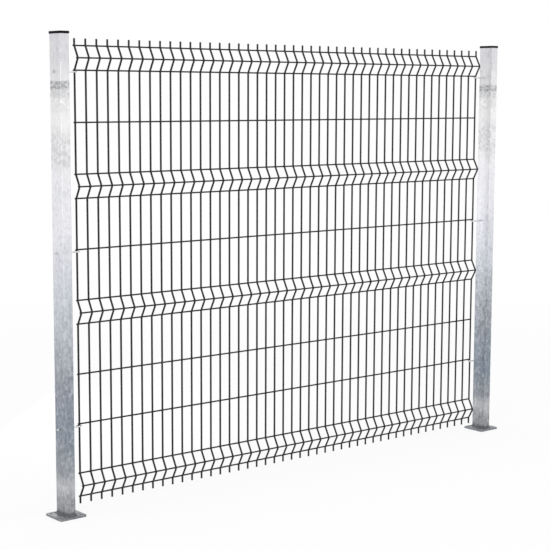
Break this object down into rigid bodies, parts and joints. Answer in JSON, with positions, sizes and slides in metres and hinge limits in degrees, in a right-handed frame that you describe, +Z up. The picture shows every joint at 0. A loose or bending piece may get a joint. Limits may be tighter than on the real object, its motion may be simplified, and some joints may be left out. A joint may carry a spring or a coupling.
{
  "type": "welded mesh fence panel",
  "caption": "Welded wire mesh fence panel stiffened by V-shaped folds and hung by hook bolts between two capped box-section posts on bolt-down foot plates.",
  "frame": {"origin": "on the ground, midway between the two posts and on their centre line", "axes": "+X along the fence, +Y from the front, where the folds stand out, to the back, +Z up"},
  "size_m": [2.52, 0.12, 1.89],
  "materials": {
    "coated_wire": "satin powder coat over galvanised wire",
    "galvanised_steel": "hot-dip zinc, mottled",
    "zinc_fasteners": "zinc plated",
    "black_plastic": "moulded, fine grain"
  },
  "bodies": {
    "root": {"bottom_fold_lower_wire": "coated_wire", "bottom_fold_nose_wire": "coated_wire", "bottom_fold_upper_wire": "coated_wire", "inner_vertical_wires": "coated_wire", "left_bottom_hook_bolt": "zinc_fasteners", "left_cap": "black_plastic", "left_end_wire": "coated_wire", "left_foot_plate": "galvanised_steel", "left_foot_weld": "galvanised_steel", "left_hook_nuts": "zinc_fasteners", "left_hook_washers": "zinc_fasteners", "left_middle_hook_bolt": "zinc_fasteners", "left_post": "galvanised_steel", "left_top_hook_bolt": "zinc_fasteners", "lower_bay_wire_1": "coated_wire", "lower_bay_wire_2": "coated_wire", "lower_fold_lower_wire": "coated_wire", "lower_fold_nose_wire": "coated_wire", "lower_fold_upper_wire": "coated_wire", "middle_bay_wire_1": "coated_wire", "right_bottom_hook_bolt": "zinc_fasteners", "right_cap": "black_plastic", "right_end_wire": "coated_wire", "right_foot_plate": "galvanised_steel", "right_foot_weld": "galvanised_steel", "right_hook_nuts": "zinc_fasteners", "right_hook_washers": "zinc_fasteners", "right_middle_hook_bolt": "zinc_fasteners", "right_post": "galvanised_steel", "right_top_hook_bolt": "zinc_fasteners", "top_fold_lower_wire": "coated_wire", "top_fold_nose_wire": "coated_wire", "top_fold_upper_wire": "coated_wire", "upper_bay_wire_1": "coated_wire", "upper_fold_lower_wire": "coated_wire", "upper_fold_nose_wire": "coated_wire", "upper_fold_upper_wire": "coated_wire"}
  },
  "joints": []
}
